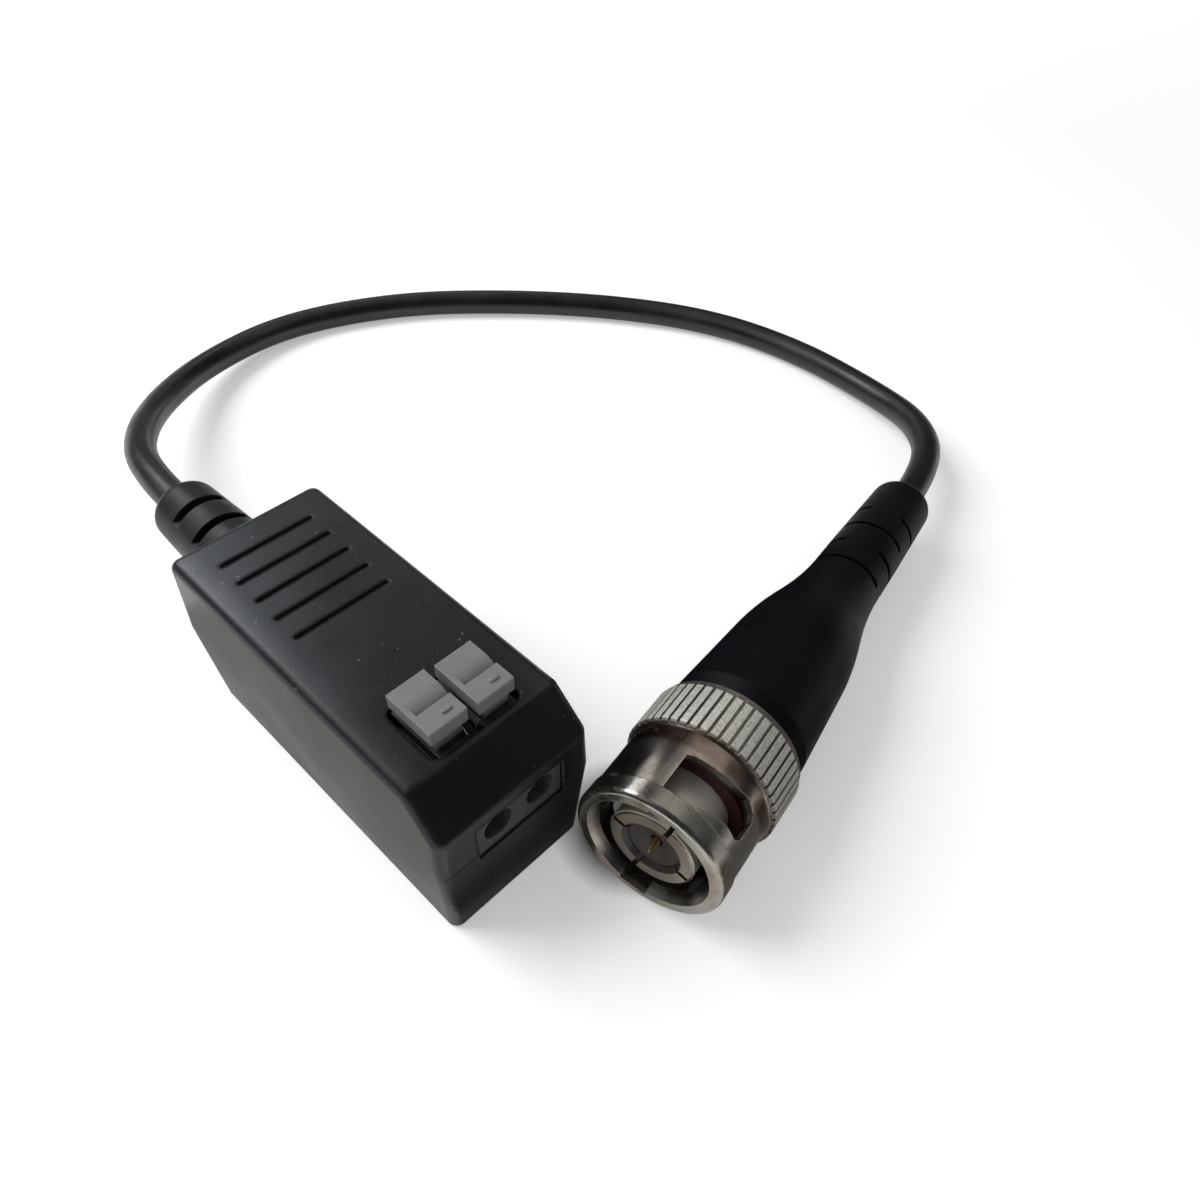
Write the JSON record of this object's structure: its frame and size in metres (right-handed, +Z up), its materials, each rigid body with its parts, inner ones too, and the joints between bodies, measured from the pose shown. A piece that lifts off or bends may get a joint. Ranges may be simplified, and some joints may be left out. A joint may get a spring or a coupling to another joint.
{
  "type": "cctv video balun",
  "caption": "Passive video balun: a small housing with push-lever wire terminals and a short coaxial lead that ends in a bayonet plug.",
  "frame": {"origin": "middle of the housing's footprint, on the surface it stands on", "axes": "+Y from the wire entries to the lead, +Z up through the lid, +X to the right seen from the wire entries"},
  "size_m": [0.0944, 0.1068, 0.0213],
  "materials": {
    "housing_plastic": "satin",
    "terminal_plastic": "satin",
    "lever_plastic": "satin",
    "spring_steel": "polished",
    "tinned_copper": "satin",
    "board_laminate": "satin",
    "ferrite": "matte",
    "enamelled_wire": "gloss",
    "ceramic": "satin",
    "moulded_epoxy": "matte",
    "soft_rubber": "satin",
    "lead_jacket": "satin",
    "plated_brass": "polished",
    "insulator": "satin",
    "gold_plate": "polished",
    "red_silicone": "satin"
  },
  "bodies": {
    "housing": {"top_cover": "housing_plastic", "bottom_cover": "housing_plastic", "terminal_block": "terminal_plastic", "clamp_left": "spring_steel", "clamp_right": "spring_steel", "contact_left": "tinned_copper", "contact_right": "tinned_copper", "circuit_board": "board_laminate", "ferrite_core": "ferrite", "winding_a": "enamelled_wire", "winding_b": "enamelled_wire", "capacitor": "ceramic", "surge_diode": "moulded_epoxy", "resistors": "ceramic", "strain_relief": "soft_rubber", "lead_start": "lead_jacket", "core_wire": "tinned_copper", "braid_tail": "tinned_copper", "plug_body": "plated_brass", "plug_dielectric": "insulator", "centre_pin": "gold_plate", "gasket": "red_silicone", "retaining_ring": "spring_steel", "braid_end": "tinned_copper", "crimp_ferrule": "plated_brass", "lead_end": "lead_jacket", "plug_boot": "soft_rubber", "cable": "lead_jacket"},
    "lever_left": {"lever_left": "lever_plastic"},
    "lever_right": {"lever_right": "lever_plastic"},
    "nut_thrust": {"thrust_washer": "plated_brass", "wave_washer": "spring_steel"},
    "nut": {"coupling_nut": "plated_brass"}
  },
  "joints": [
    {"name": "lever_left_press", "type": "slide", "parent": "housing", "child": "lever_left", "axis": [0, 0, -1], "range_m": [0, 0.001], "stiffness_N_per_m": 2000, "springref_m": -0.0005, "deforming": ["clamp_left"]},
    {"name": "lever_right_press", "type": "slide", "parent": "housing", "child": "lever_right", "axis": [0, 0, -1], "range_m": [0, 0.001], "stiffness_N_per_m": 2000, "springref_m": -0.0005, "deforming": ["clamp_right"]},
    {"name": "nut_slide", "type": "slide", "parent": "housing", "child": "nut_thrust", "axis": [-0.9835, -0.1759, 0.0419], "range_m": [0, 0.0008], "stiffness_N_per_m": 1500, "springref_m": -0.0005},
    {"name": "nut_spin", "type": "hinge", "parent": "nut_thrust", "child": "nut", "pos_m": [0.01623, -0.02572, 0.00769], "axis": [-0.9835, -0.1759, 0.0419], "continuous": true}
  ]
}
